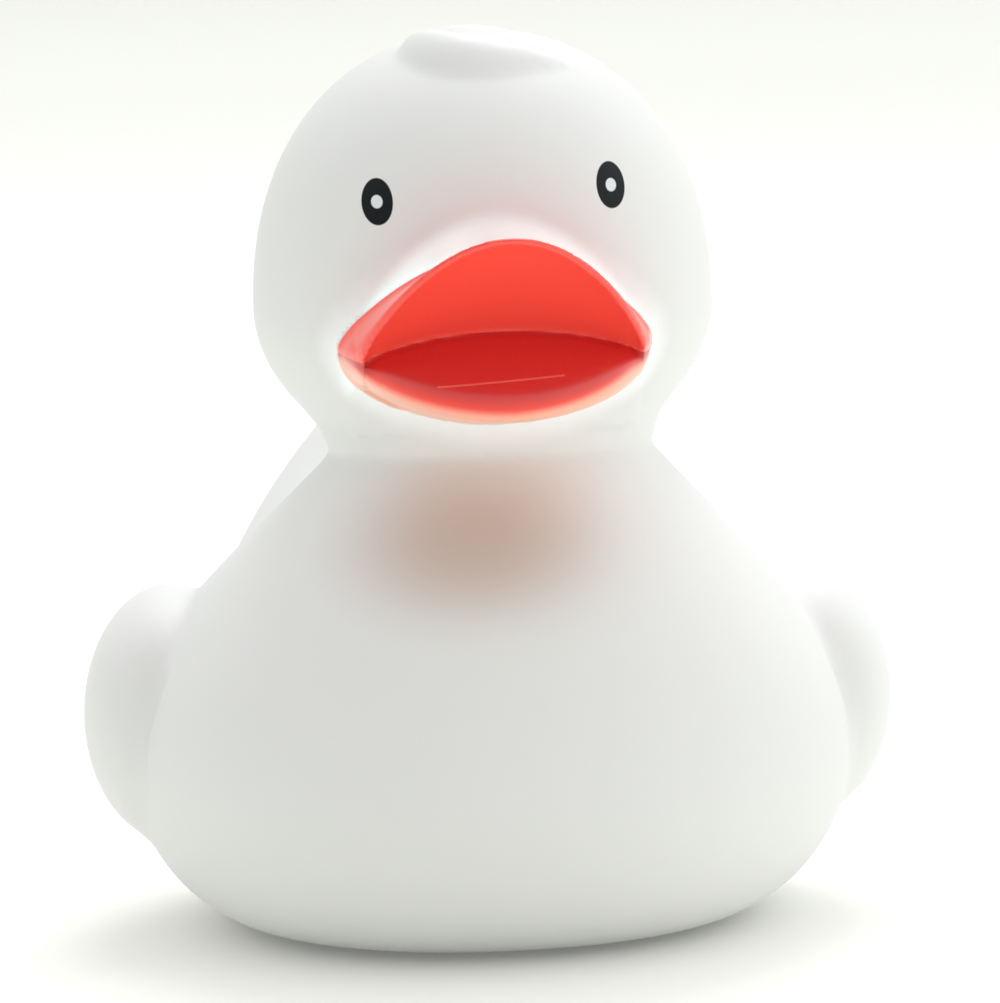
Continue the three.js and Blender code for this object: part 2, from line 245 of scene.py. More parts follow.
# Mouth: a wedge from the crease at its back to the rim. Its roof is bowed and its floor straight on the way
# forward, and past the ends of the crease it is a fine groove that rises to the corners of the bill.
def mouthWedge(x, y):
    off = np.abs(x)
    full = lens(x, mouth["half"], 1.0)
    grown = ease(mouth["half"] + groove["grow"][0], mouth["half"] + groove["grow"][1], off)
    outside = grown * ease(groove["end"], groove["end"] - groove["fade"], off)
    corner = mouth["z"] + groove["rise"] * ease(mouth["half"], bill["half"], off)
    crease = corner + mouth["crease"] * full ** mouth["creasePower"]
    depth = mouth["depth"] * full ** mouth["depthPower"] + mouth["leastDepth"] + groove["depth"] * outside
    share = 1 - (y - billRim(x)) / depth
    bowed = share * (1 + mouth["bowl"] * (1 - share))
    rim = bill["z"] + rimHeight(x, mouth["lip"], mouth["lipSide"])
    inner = ease(groove["end"] + mouth["roofFade"][0], mouth["half"] + mouth["roofFade"][1], off)
    roof = corner + (rim - corner) * inner + groove["gape"] * outside
    floor = corner - mouth["floor"] * lens(x, mouth["floorHalf"], mouth["floorPower"]) - groove["gape"] * outside
    return crease + (roof - crease) * bowed, crease + (floor - crease) * share


# The mouth's roof and floor as distances, each above 0 on its side of the open mouth.
def mouthSides(x, y, z):
    x = billX(x, y)
    roof = evenSlope(lambda a, b, c: c - mouthWedge(a, b)[0], x, y, z)
    floor = evenSlope(lambda a, b, c: mouthWedge(a, b)[1] - c, x, y, z)
    return roof, floor


lock = {"high": 2.9, "places": 60, "least": 1e-3,
        "strands": [{"from": (-5.8, -13.4), "by": (-3.4, -23.6), "to": (7.4, -18.2), "wide": 2.7, "proud": 1.6},
                    {"from": (-5.0, -9.4), "by": (1.0, -13.5), "to": (6.8, -17.8), "wide": 2.8, "proud": 0.55}]}


# Strand of the lock: a ridge on the crown round the nearest place of a curve in the plan.
# It stands proud of the head by the strand's own height times the size at that place.
def strandField(strand, x, y, z):
    shares = np.linspace(0, 1, lock["places"])
    curveX, curveY = (bend(a, b, c, shares) for a, b, c in zip(strand["from"], strand["by"], strand["to"]))
    best = np.full_like(x, 1e9)
    nearest = np.zeros_like(x)
    for share, placeX, placeY in zip(shares, curveX, curveY):
        away = (x - placeX) ** 2 + (y - placeY) ** 2
        nearest = np.where(away < best, share, nearest)
        best = np.minimum(best, away)
    size = bluntSize(nearest, lock["least"])
    up = (headField(x, y, z) - (strand["proud"] - lock["high"]) * size) / lock["high"]
    gauge = np.sqrt(best / strand["wide"] ** 2 + up ** 2) / size + tiny
    return np.sqrt(best + (up * lock["high"]) ** 2) * (1 - 1 / gauge)


# The forms joined

joins = {"neck": 3.1, "tail": (0.05, 4.0), "wing": 1.1, "bill": 1.3, "lock": 0.5, "base": 1.2}
far = 60.0                                       # past the grid on every side
zones = {"tail": (0, 34, -14, far, 0, 2 * far), "wing": (12, far, -far, far, -far, 42),
         "crown": (0, far, -far, -2, 68, 2 * far), "bill": (0, far, -far, -14, 42, 70),
         "mouth": (0, groove["end"], -far, -20, 46, 67)}
beyond = 8.0                                     # distance given to the points outside a form's zone


# Whether points lie in a zone, which has its least and most distance from the middle plane, y and z.
def inZone(name, x, y, z):
    nearX, farX, lowY, highY, lowZ, highZ = zones[name]
    off = np.abs(x)
    return (off >= nearX) & (off < farX) & (y > lowY) & (y < highY) & (z > lowZ) & (z < highZ)


# A form's field, worked out only in its zone.
def inside(name, field, x, y, z):
    result = np.full_like(x, beyond)
    mask = inZone(name, x, y, z)
    if mask.any():
        result[mask] = field(x[mask], y[mask], z[mask])
    return result


# Distances of a point from the white forms, joined, and from the bill.
def skinParts(x, y, z):
    onHead = headField(x, y, z)
    for strand in lock["strands"]:
        onStrand = inside("crown", lambda a, b, c: strandField(strand, a, b, c), x, y, z)
        onHead = blendIn(onHead, onStrand, joins["lock"])
    onBody = keepBoth(evenSlope(bodyField, x, y, z), z - body["top"], body["topEdge"])
    onTail = inside("tail", lambda a, b, c: evenSlope(tailField, a, b, c), x, y, z)
    onWing = inside("wing", lambda a, b, c: evenSlope(wingField, a, b, c), x, y, z)
    least, full = joins["tail"]
    white = blendIn(onHead, onBody, joins["neck"])
    white = blendIn(white, onTail, least + full * ease(0, tail["fade"], behindTailStart(y, z)))
    white = blendIn(white, onWing, joins["wing"])
    return white, inside("bill", billField, x, y, z)


# The whole skin. The mouth is cut last: what stays is above its roof or below its floor.
# The roundings fade out from the middle towards the ends of the grooves.
def skinField(x, y, z):
    white, onBill = skinParts(x, y, z)
    solid = blendIn(white, onBill, joins["bill"])
    front = inZone("mouth", billX(x, y), y, z)
    if front.any():
        roof, floor = mouthSides(x[front], y[front], z[front])
        off = np.abs(billX(x[front], y[front]))
        inward, within = (ease(groove["end"] + mouth[fade][0], mouth["half"] + mouth[fade][1], off)
                          for fade in ("edgeFade", "creaseFade"))
        least, full = mouth["floorEdge"]
        upper = keepBoth(solid[front], -roof, mouth["roofEdge"])
        lower = keepBoth(solid[front], -floor, least + (full - least) * inward)
        least, full = mouth["creaseEdge"]
        solid[front] = blendIn(upper, lower, least + (full - least) * within)
    return keepBoth(solid, -z, joins["base"])


# The field made into a mesh

grid = {"x": {"low": -38, "high": 38, "fineLow": -15.2, "fineHigh": 14, "fine": 0.4, "coarse": 0.8, "change": 5},
        "y": {"low": -41, "high": 41.4, "fineLow": -41, "fineHigh": -23, "fine": 0.34, "coarse": 0.8,
              "change": 6},
        "z": {"low": -1.2, "high": 84, "fineLow": 47.5, "fineHigh": 65, "fine": 0.34, "coarse": 0.75,
              "change": 5}}
mesher = {"block": 6, "blockReach": 6.24, "unseen": 9.0, "settleSteps": 4, "slopeStep": 0.05, "leastSlope": 0.05,
          "longestMove": 0.25}


# Marks along an axis: their number grows by 1 / spacing,
# and the spacing grows from fine to coarse over a change of place on both sides of the fine span.
def marks(low, high, fineLow, fineHigh, fine, coarse, change):
    s = np.linspace(low, high, 4001)
    away = np.clip(np.maximum(fineLow - s, s - fineHigh), 0, None)
    spacing = fine + (coarse - fine) * ease(0, change, away[:-1])
    count = np.concatenate([[0], np.cumsum((s[1] - s[0]) / spacing)])
    return np.interp(np.linspace(0, count[-1], int(count[-1]) + 2), count, s)


# Values of a field on the grid, worked out only in the blocks that may hold the surface.
def gridValues(field, axes):
    block = mesher["block"]
    size = [len(axis) for axis in axes]
    firsts = [np.arange(0, n - 1, block) for n in size]
    mids = [axis[np.minimum(c + block // 2, len(axis) - 1)] for axis, c in zip(axes, firsts)]
    places = np.meshgrid(*mids, indexing="ij")
    rough = field(*(p.ravel() for p in places)).reshape(places[0].shape)
    wanted = np.abs(rough) < mesher["blockReach"]
    values = np.where(rough < 0, -mesher["unseen"], mesher["unseen"])
    for axis in range(3):
        wanted = np.repeat(wanted, block, axis)
        values = np.repeat(values, block, axis)
    pad = [(0, max(0, n - m)) for n, m in zip(size, wanted.shape)]
    wanted = np.pad(wanted, pad, mode="edge")[:size[0], :size[1], :size[2]]
    values = np.pad(values, pad, mode="edge")[:size[0], :size[1], :size[2]]
    i, j, k = np.nonzero(wanted)
    values[i, j, k] = field(axes[0][i], axes[1][j], axes[2][k])
    return values


# A point in each cell that the surface crosses, at the mean of where it crosses the cell's edges.
def cellPoints(values, axes):
    solid = values < 0
    halves = [slice(None, -1), slice(1, None)]
    corners = [(a, b, c) for a in (0, 1) for b in (0, 1) for c in (0, 1)]
    count = sum(solid[halves[a], halves[b], halves[c]].astype(np.int8) for a, b, c in corners)
    cells = np.nonzero((count > 0) & (count < len(corners)))
    number = np.full([n - 1 for n in values.shape], -1)
    number[cells] = np.arange(len(cells[0]))
    total, times = np.zeros((len(cells[0]), 3)), np.zeros(len(cells[0]))
    for along in range(3):
        for offset in (corner for corner in corners if corner[along] == 0):
            start = [c + s for c, s in zip(cells, offset)]
            end = [c + (n == along) for n, c in enumerate(start)]
            atStart, atEnd = values[tuple(start)], values[tuple(end)]
            crossed = (atStart < 0) != (atEnd < 0)
            share = np.where(crossed, atStart / np.where(crossed, atStart - atEnd, 1), 0)
            for n, axis in enumerate(axes):
                here, there = axis[start[n]], axis[end[n]]
                total[:, n] += np.where(crossed, here + (there - here) * share, 0)
            times += crossed
    return total / times[:, None], number


# A face across each grid edge that the surface crosses, from the four cells round the edge, turned outward.
def cellFaces(values, number):
    solid = values < 0
    faces = []
    for along in range(3):
        first, second = [n for n in range(3) if n != along]
        lower = solid[tuple(slice(None, -1) if n == along else slice(1, -1) for n in range(3))]
        upper = solid[tuple(slice(1, None) if n == along else slice(1, -1) for n in range(3))]
        crossed = np.nonzero(lower != upper)
        place = [c + (n != along) for n, c in enumerate(crossed)]
        flip = lower[crossed] == (along == 1)
        ring = []
        for backFirst, backSecond in ((1, 1), (0, 1), (0, 0), (1, 0)):
            cell = list(place)
            cell[first] = place[first] - backFirst
            cell[second] = place[second] - backSecond
            ring.append(number[tuple(cell)])
        ring = np.stack(ring, 1)
        faces.append(np.where(flip[:, None], ring, ring[:, ::-1]))
    return np.concatenate(faces)


# Slope of a field at points, by a small step each way.
def slopeAt(field, points):
    step = mesher["slopeStep"]
    return np.stack([(field(*(points + step * way).T) - field(*(points - step * way).T)) / (2 * step)
                     for way in np.eye(3)], 1)


# Slides points down the slope of a field until they lie on its surface: each step is distance / slope.
def settle(field, points):
    for _ in range(mesher["settleSteps"]):
        slope = slopeAt(field, points)
        steep = (slope ** 2).sum(1)[:, None].clip(mesher["leastSlope"])
        move = field(*points.T)[:, None] * slope / steep
        length = np.linalg.norm(move, axis=1, keepdims=True)
        points = points - move * np.minimum(1, mesher["longestMove"] / length.clip(tiny))
    return points


# Object with a smooth mesh, from points in millimetres.
def makeMesh(name, points, faces):
    mesh = bpy.data.meshes.new(name)
    mesh.from_pydata((points * mm).tolist(), [], faces.tolist())
    mesh.validate()
    mesh.polygons.foreach_set("use_smooth", np.ones(len(mesh.polygons), bool))
    piece = bpy.data.objects.new(name, mesh)
    bpy.context.scene.collection.objects.link(piece)
    return piece


# The skin as a mesh, settled on its field, with its base flat on the floor.
def makeSkin():
    axes = [marks(**grid[name]) for name in "xyz"]
    print("skin: grid of", *(len(axis) for axis in axes))
    values = gridValues(skinField, axes)
    points, number = cellPoints(values, axes)
    faces = cellFaces(values, number)
    points = settle(skinField, points)
    points[:, 2] = points[:, 2].clip(0)
    print("skin:", len(points), "points,", 2 * len(faces), "triangles")
    return makeMesh("duckSkin", points, faces)


skin = makeSkin()

# The pocket for the squeaker

pocket = {"outer": 8.3, "step": 1.9, "inner": 6.3, "top": 9.7, "below": -1.0, "around": 96,
          "onRim": (0.03, 0.02)}


# The pocket's stepped bore as a closed solid, its outline turned round the Z axis.
def pocketCutter():
    outline = np.array([[pocket["outer"], pocket["below"]], [pocket["outer"], pocket["step"]],
                        [pocket["inner"], pocket["step"]], [pocket["inner"], pocket["top"]]])
    n = pocket["around"]
    turn = np.linspace(0, 2 * np.pi, n, endpoint=False)
    ring = np.stack([np.outer(outline[:, 0], np.cos(turn)), np.outer(outline[:, 0], np.sin(turn)),
                     np.repeat(outline[:, 1:], n, 1)], -1).reshape(-1, 3)
    points = np.concatenate([ring, [[0, 0, outline[0, 1]], [0, 0, outline[-1, 1]]]])
    here = np.arange(n)
    after = (here + 1) % n
    sides = np.concatenate([np.stack([k * n + here, k * n + after, (k + 1) * n + after, (k + 1) * n + here], 1)
                            for k in range(len(outline) - 1)])
    low = np.stack([np.full(n, 4 * n), after, here], 1)
    high = np.stack([np.full(n, 4 * n + 1), 3 * n + here, 3 * n + after], 1)
    cutter = bpy.data.objects.new("pocketCutter", bpy.data.meshes.new("pocketCutter"))
    cutter.data.from_pydata((points * mm).tolist(), [], sides.tolist() + low.tolist() + high.tolist())
    bpy.context.scene.collection.objects.link(cutter)
    return cutter


# Cuts the pocket out of the base and keeps the result as the skin's own mesh.
def cutPocket():
    cutter = pocketCutter()
    cut = skin.modifiers.new("pocket", "BOOLEAN")
    cut.operation, cut.object, cut.solver = "DIFFERENCE", cutter, "EXACT"
    bpy.context.view_layer.update()
    made = bpy.data.meshes.new_from_object(skin.evaluated_get(bpy.context.evaluated_depsgraph_get()))
    skin.modifiers.clear()
    old, skin.data = skin.data, made
    bpy.data.meshes.remove(old)
    bpy.data.objects.remove(cutter)
    made.name = "duckSkin"


# The vertices of the skin as an array, in millimetres.
def skinVertices():
    flat = np.empty(3 * len(skin.data.vertices), np.float32)
    skin.data.vertices.foreach_get("co", flat)
    return flat.reshape(-1, 3).astype(float) / mm


# Keeps the rims of the pocket crisp: an edge is crisp where both its ends lie on the same rim.
def sharpenPocket(points):
    ends = np.empty(2 * len(skin.data.edges), np.int32)
    skin.data.edges.foreach_get("vertices", ends)
    fromAxis = np.hypot(points[:, 0], points[:, 1])
    crisp = np.zeros(len(skin.data.edges), bool)
    nearRadius, nearHeight = pocket["onRim"]
    for radius, heights in (("outer", (0.0, pocket["step"])), ("inner", (pocket["step"], pocket["top"]))):
        for height in heights:
            onRim = np.abs(fromAxis - pocket[radius]) < nearRadius
            onRim &= np.abs(points[:, 2] - height) < nearHeight
            crisp |= onRim[ends[0::2]] & onRim[ends[1::2]]
    skin.data.edges.foreach_set("use_edge_sharp", crisp)
    skin.data.polygons.foreach_set("use_smooth", np.ones(len(skin.data.polygons), bool))
    print("skin: pocket cut,", len(points), "points,", int(crisp.sum()), "crisp edges")


cutPocket()
skinPoints = skinVertices()
sharpenPocket(skinPoints)

# Where the paint lies, kept on the vertices as distances in millimetres

paint = {"edge": 0.2, "every": 3, "none": 9.0, "front": -17, "low": 44, "high": 70, "parts": 12,
         "creaseEnd": 0.4, "chinLean": 0.06, "sideClip": (-6, 2), "mouthClip": (-2, 2), "chinClip": (-4, 2)}
band = {"drop": 1.1, "above": (3.6, 0.4), "below": (-4, -2), "sides": (14.5, 10.5)}


# Adds a value for each vertex of the skin, which the material reads by its name.
def pointLayer(name, values):
    layer = skin.data.attributes.new(name, "FLOAT", "POINT")
    layer.data.foreach_set("value", values.astype(np.float32))


# Distance of the points round the bill from the nearest vertex at the edge of its paint, worked out in parts.
def fromPaintEdge(points, billSide):
    edge = points[np.abs(billSide) < paint["edge"]][::paint["every"]]
    around = (billSide < 0) & (points[:, 1] < paint["front"])
    around = np.nonzero(around & (points[:, 2] > paint["low"]) & (points[:, 2] < paint["high"]))[0]
    distance = np.full(len(points), paint["none"])
    for part in np.array_split(around, paint["parts"]):
        distance[part] = np.sqrt(((points[part, None] - edge[None]) ** 2).sum(2).min(1))
    return distance


# A band on the head over the bill: 1 where the rim hides the head from the front, fading out above it
# and at its sides. It starts a drop below the rim, because the rim is nearer to the eye than the head.
def overRim(points, across):
    high = points[:, 2] - bill["z"] - rimHeight(across) + band["drop"]
    wide = ease(*band["sides"], np.abs(across)) * (points[:, 1] < paint["front"])
    return ease(*band["above"], high) * ease(*band["below"], high) * wide


# Layers of the paint. billSide is how much nearer the bill is than the white forms, 0 along the join, mouthFloor
# is above 0 on the floor's side of the crease, and mouthInside is below 0 behind the floor's surface.
def paintLayers(points):
    whiteDistance, billDistance = skinParts(*points.T)
    billSide = (whiteDistance - billDistance).clip(*paint["sideClip"])
    across = billX(points[:, 0], points[:, 1])
    roof, floor = mouthSides(*points.T)
    inCrease = np.abs(across) < mouth["half"] - paint["creaseEnd"]
    chin = underBill(across, points[:, 1], points[:, 2]) + paint["chinLean"] * points[:, 0].clip(0)
    pointLayer("billSide", billSide)
    pointLayer("fromPaint", fromPaintEdge(points, billSide))
    pointLayer("overRim", overRim(points, across))
    pointLayer("mouthFloor", (floor - roof).clip(*paint["mouthClip"]))
    pointLayer("mouthInside", (-floor).clip(*paint["mouthClip"]))
    pointLayer("creaseNear", np.where(inCrease, np.minimum(roof, floor), -2).clip(*paint["mouthClip"]))
    pointLayer("chinNear", chin.clip(*paint["chinClip"]))
    print("skin: paint layers are on")


paintLayers(skinPoints)

# Materials


# The nodes of a material or a world, with short ways to add one.
# A value given to a node is a number, a tuple or another node's output.
class Wiring:
    def __init__(self, tree):
        self.tree = tree

    def add(self, kind, **settings):
        node = self.tree.nodes.new(kind)
        for key, value in settings.items():
            setattr(node, key, value)
        return node

    def feed(self, socket, value):
        if isinstance(value, bpy.types.NodeSocket):
            self.tree.links.new(value, socket)
        else:
            socket.default_value = value

    def feedAll(self, node, values):
        for name, value in values.items():
            self.feed(node.inputs[name], value)
        return node

    # The object's own coordinates, in metres.
    def place(self):
        return self.add("ShaderNodeTexCoord").outputs["Object"]

    def maths(self, operation, a, b=0.0, clamp=False):
        node = self.add("ShaderNodeMath", operation=operation, use_clamp=clamp)
        return self.feedAll(node, {0: a, 1: b}).outputs[0]

    def vector(self, operation, a, b, output="Vector"):
        node = self.add("ShaderNodeVectorMath", operation=operation)
        return self.feedAll(node, {0: a, 1: b}).outputs[output]

    def split(self, vector):
        return self.feedAll(self.add("ShaderNodeSeparateXYZ"), {0: vector}).outputs

    # A value carried over from one span to another.
    def span(self, value, low, high, toLow=0.0, toHigh=1.0, kind="LINEAR"):
        node = self.add("ShaderNodeMapRange", interpolation_type=kind)
        ends = {"From Min": low, "From Max": high, "To Min": toLow, "To Max": toHigh}
        return self.feedAll(node, {"Value": value, **ends}).outputs[0]

    # A smooth step of a vertex layer, from 0 to 1 between its two values.
    def layerStep(self, name):
        layer = self.add("ShaderNodeAttribute", attribute_name=name)
        return self.span(layer.outputs["Fac"], *layerSteps[name], kind="SMOOTHSTEP")

    def mix(self, share, a, b):
        return self.feedAll(self.add("ShaderNodeMix", data_type="RGBA"), {0: share, 6: a, 7: b}).outputs[2]

    def noise(self, place, scale, detail):
        node = self.add("ShaderNodeTexNoise")
        return self.feedAll(node, {"Vector": place, "Scale": scale, "Detail": detail}).outputs["Fac"]

    def bump(self, height, strength, distance):
        node = self.add("ShaderNodeBump")
        return self.feedAll(node, {"Height": height, "Strength": strength, "Distance": distance}).outputs[0]


# A new material, its wiring and its shader.
def newMaterial(name):
    material = bpy.data.materials.new(name)
    material.use_nodes = True
    return material, Wiring(material.node_tree), material.node_tree.nodes["Principled BSDF"]


layerSteps = {"billSide": (-0.05, 0.2), "mouthFloor": (-0.1, 0.1), "mouthInside": (-0.9, -0.1),
              "creaseNear": (-0.5, -0.15), "chinNear": (-0.9, -0.05), "fromPaint": (3.4, 0.2),
              "overRim": (0.0, 1.0)}
# In vinyl, the mouth's darker red is painted shade, the peach at the lip is partly paint edge and partly painted
# reflection, and the paler white near the bill is a painted halo of light.
vinyl = {"white": (0.83, 0.84, 0.825, 1), "red": (0.98, 0.07, 0.045, 1), "shadedRed": (0.7, 0.022, 0.02, 1),
         "peachEdgeAndSheen": (0.94, 0.48, 0.34, 1), "paintedHaloWhite": (0.94, 0.945, 0.935, 1), "roughness": (0.55, 0.38),
         "specular": 0.5, "coat": 0.5, "coatRoughness": 0.3, "grain": 2600, "grainDetail": 3,
         "grainStrength": 0.08, "grainDepth": 0.0001}
eye = {"black": (0.006, 0.009, 0.011, 1), "dot": (0.8, 0.85, 0.88, 1), "turn": 33.1, "z": {-1: 66.5, 1: 67.2},
       "half": (1.53, 1.98), "dotHalf": (0.56, 0.56), "shear": 0.2, "edge": 0.05, "dotEdge": 0.15,
       "lessSpecular": 0.3}
# Painted shadow of the bill on the chest, tinted with red reflected from the bill.
chestShadow = {"colour": (0.63, 0.535, 0.475, 1), "at": (-3.1, -31, 37.2), "scale": (0.7, 0.55, 1.25), "fade": 12.5}
# A painted highlight along a moulding line on the mouth's floor.
glintLine = {"colour": (0.98, 0.24, 0.18, 1), "x": -0.9, "half": 5.4, "z": 51.72, "slope": 0.05, "fade": (0.11, 0.02),
        "strength": 0.6}
# Emission colours and strengths of painted light on the skin: round the bill, in a band above it, and on the
# bill.
glow = {"white": (0.6, 1.0, 1.0, 1), "red": (1.0, 0.16, 0.12, 1), "ring": 0.05, "band": 0.3, "bill": 0.1}


# The eye on one side: its oval and its dot, drawn in coordinates turned to face its way and leant outward.
# A mask is 1 less the root of the summed squares of x and z over the half sizes, over the edge's softness.
def eyeMasks(wires, place, side):
    middle = (0, head["middleY"] * mm, eye["z"][side] * mm)
    turn = wires.add("ShaderNodeVectorRotate", rotation_type="Z_AXIS")
    wires.feedAll(turn, {"Vector": wires.vector("SUBTRACT", place, middle),
                         "Angle": -side * math.radians(eye["turn"])})
    axes = wires.split(turn.outputs[0])
    across = wires.maths("SUBTRACT", axes["X"], wires.maths("MULTIPLY", axes["Z"], side * eye["shear"]))
    masks = []
    for (halfX, halfZ), edge in ((eye["half"], eye["edge"]), (eye["dotHalf"], eye["dotEdge"])):
        squares = [wires.maths("POWER", wires.maths("ABSOLUTE", wires.maths("DIVIDE", value, half * mm)), 2.0)
                   for value, half in ((across, halfX), (axes["Z"], halfZ))]
        distance = wires.maths("SUBTRACT", 1.0, wires.maths("SQRT", wires.maths("ADD", *squares)))
        mask = wires.maths("ADD", wires.maths("MULTIPLY", distance, 1 / edge), 0.5, clamp=True)
        masks.append(wires.maths("MULTIPLY", mask, wires.maths("LESS_THAN", axes["Y"], 0.0)))
    return masks


# Painted shadow of the bill on the chest, with red light thrown back from the bill in it: a soft patch that
# fades out with the length of the way from its middle, scaled on each axis.
def chestShadowFade(wires, place):
    off = wires.vector("SUBTRACT", place, [c * mm for c in chestShadow["at"]])
    away = wires.vector("LENGTH", wires.vector("MULTIPLY", off, chestShadow["scale"]), (0, 0, 0), "Value")
    return wires.span(away, chestShadow["fade"] * mm, 0.0, kind="SMOOTHERSTEP")


# A painted highlight along the moulding line across the mouth's floor: a fine stroke along z = slope * x + z,
# cut off at both ends.
def mouthGlintStroke(wires, axes):
    level = wires.maths("ADD", wires.maths("MULTIPLY", axes["X"], glintLine["slope"]), glintLine["z"] * mm)
    off = wires.maths("ABSOLUTE", wires.maths("SUBTRACT", axes["Z"], level))
    stroke = wires.span(off, *(edge * mm for edge in glintLine["fade"]), kind="SMOOTHSTEP")
    along = wires.maths("ABSOLUTE", wires.maths("SUBTRACT", axes["X"], glintLine["x"] * mm))
    within = wires.maths("LESS_THAN", along, glintLine["half"] * mm)
    return wires.maths("MULTIPLY", wires.maths("MULTIPLY", stroke, within), glintLine["strength"])


# Vinyl with its paints: the bill and the parts of its mouth follow the vertex layers, the eyes lie over all.
def skinMaterial():
    material, wires, shader = newMaterial("whiteVinylPainted")
    place = wires.place()
    (rightOval, rightDot), (leftOval, leftDot) = (eyeMasks(wires, place, side) for side in (-1, 1))
    black = wires.maths("MAXIMUM", rightOval, leftOval)
    dots = wires.maths("MAXIMUM", rightDot, leftDot)
    red, crease = wires.layerStep("billSide"), wires.layerStep("creaseNear")
    chin, halo = wires.layerStep("chinNear"), wires.layerStep("fromPaint")
    inMouth = wires.maths("MULTIPLY", wires.layerStep("mouthFloor"), wires.layerStep("mouthInside"))

    # Painted shadow and reflected red from the bill, on the chest.
    white = wires.mix(chestShadowFade(wires, place), vinyl["white"], chestShadow["colour"])
    # Painted light: a paler halo on the white round the bill.
    white = wires.mix(halo, white, vinyl["paintedHaloWhite"])
    # The lip's under edge fades to peach: partly the paint thinning out there, partly a painted reflection of
    # the bright floor.
    bright = wires.mix(chin, vinyl["red"], vinyl["peachEdgeAndSheen"])
    # Painted shade: the mouth's floor is a darker red, crossed by a painted highlight along the moulding line.
    mouthShade = wires.mix(mouthGlintStroke(wires, wires.split(place)), vinyl["shadedRed"], glintLine["colour"])
    colour = wires.mix(red, white, wires.mix(inMouth, bright, mouthShade))
    colour = wires.mix(black, colour, eye["black"])
    colour = wires.mix(dots, colour, eye["dot"])

    # The crease shines less, and so does the black of the eyes.
    painted = wires.maths("MAXIMUM", black, red)
    dull = wires.maths("SUBTRACT", 1.0, wires.maths("MULTIPLY", crease, red))
    shine = wires.maths("SUBTRACT", vinyl["specular"], wires.maths("MULTIPLY", black, eye["lessSpecular"]))
    coat = wires.maths("MULTIPLY", red, vinyl["coat"])
    grain = wires.noise(place, vinyl["grain"], vinyl["grainDetail"])

    # Painted light, as emission: the white glows a little round the bill, more so above it, and the thin bill
    # glows red.
    glowAboveBill = wires.maths("MULTIPLY", wires.layerStep("overRim"), glow["band"])
    whiteGlow = wires.maths("ADD", wires.maths("MULTIPLY", halo, glow["ring"]), glowAboveBill)
    whiteGlow = wires.maths("MULTIPLY", whiteGlow, wires.maths("SUBTRACT", 1.0, red))
    redGlow = wires.maths("SUBTRACT", glow["bill"], wires.maths("MULTIPLY", inMouth, glow["bill"]))
    redGlow = wires.maths("MULTIPLY", wires.maths("MULTIPLY", dull, redGlow), red)

    wires.feedAll(shader, {"Base Color": colour, "Roughness": wires.span(painted, 0.0, 1.0, *vinyl["roughness"]),
                           "Specular IOR Level": wires.maths("MULTIPLY", dull, shine),
                           "Coat Weight": wires.maths("MULTIPLY", coat, dull),
                           "Coat Roughness": vinyl["coatRoughness"],
                           "Emission Color": wires.mix(red, glow["white"], glow["red"]),
                           "Emission Strength": wires.maths("ADD", whiteGlow, redGlow),
                           "Normal": wires.bump(grain, vinyl["grainStrength"], vinyl["grainDepth"])})
    return material


skin.data.materials.append(skinMaterial())
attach(skin, "root")
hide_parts("duck_body")

squeakerLook = {"mottleDetail": 4, "grainDetail": 2, "grainStrength": 0.3, "radius": (1.0, 0.95, 0.85),
                "reach": 0.0008,
                "case": {"colours": ((0.86, 0.86, 0.82, 1), (0.78, 0.79, 0.74, 1)), "stretch": (1, 1, 0.4),
                         "mottle": 260, "shine": (0.34, 0.48), "grain": 3800, "depth": 0.00008, "through": 0.25},
                "reed": {"colours": ((0.66, 0.6, 0.45, 1), (0.5, 0.45, 0.33, 1)), "stretch": (0.25, 4, 1),
                         "mottle": 700, "shine": (0.2, 0.36), "grain": 5200, "depth": 0.00004, "through": 0.4}}


# Moulded plastic: a drawn-out mottle in its colour and its shine, and a fine grain on its surface.
def mouldedPlastic(name, look):
    material, wires, shader = newMaterial(name)
    place = wires.place()
    drawn = wires.vector("MULTIPLY", place, look["stretch"])
    mottle = wires.noise(drawn, look["mottle"], squeakerLook["mottleDetail"])
    grain = wires.noise(place, look["grain"], squeakerLook["grainDetail"])
    wires.feedAll(shader, {"Base Color": wires.mix(mottle, *look["colours"]),
                           "Roughness": wires.span(mottle, 0.0, 1.0, *look["shine"]),
                           "Normal": wires.bump(grain, squeakerLook["grainStrength"], look["depth"]),
                           "Subsurface Weight": look["through"], "Subsurface Radius": squeakerLook["radius"],
                           "Subsurface Scale": squeakerLook["reach"]})
    return material


casePlastic = mouldedPlastic("squeakerPlastic", squeakerLook["case"])
reedFilm = mouldedPlastic("reedFilm", squeakerLook["reed"])
squeaker = {"squeaker_case": casePlastic, "squeaker_reed_seat": casePlastic, "squeaker_reed": reedFilm}
for node, material in squeaker.items():
    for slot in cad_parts[node].material_slots:
        slot.material = material
print("materials are on")

# Stage, light and camera, in metres

stage = {"half": 6.0, "rows": (-3.0, -0.5, 0.5, 2.0), "bendAt": 5.0, "bend": 1.0, "bendSteps": 12, "top": 5.0,
         "colour": (0.92, 0.93, 0.885, 1), "roughness": 0.9, "glow": 0.07}


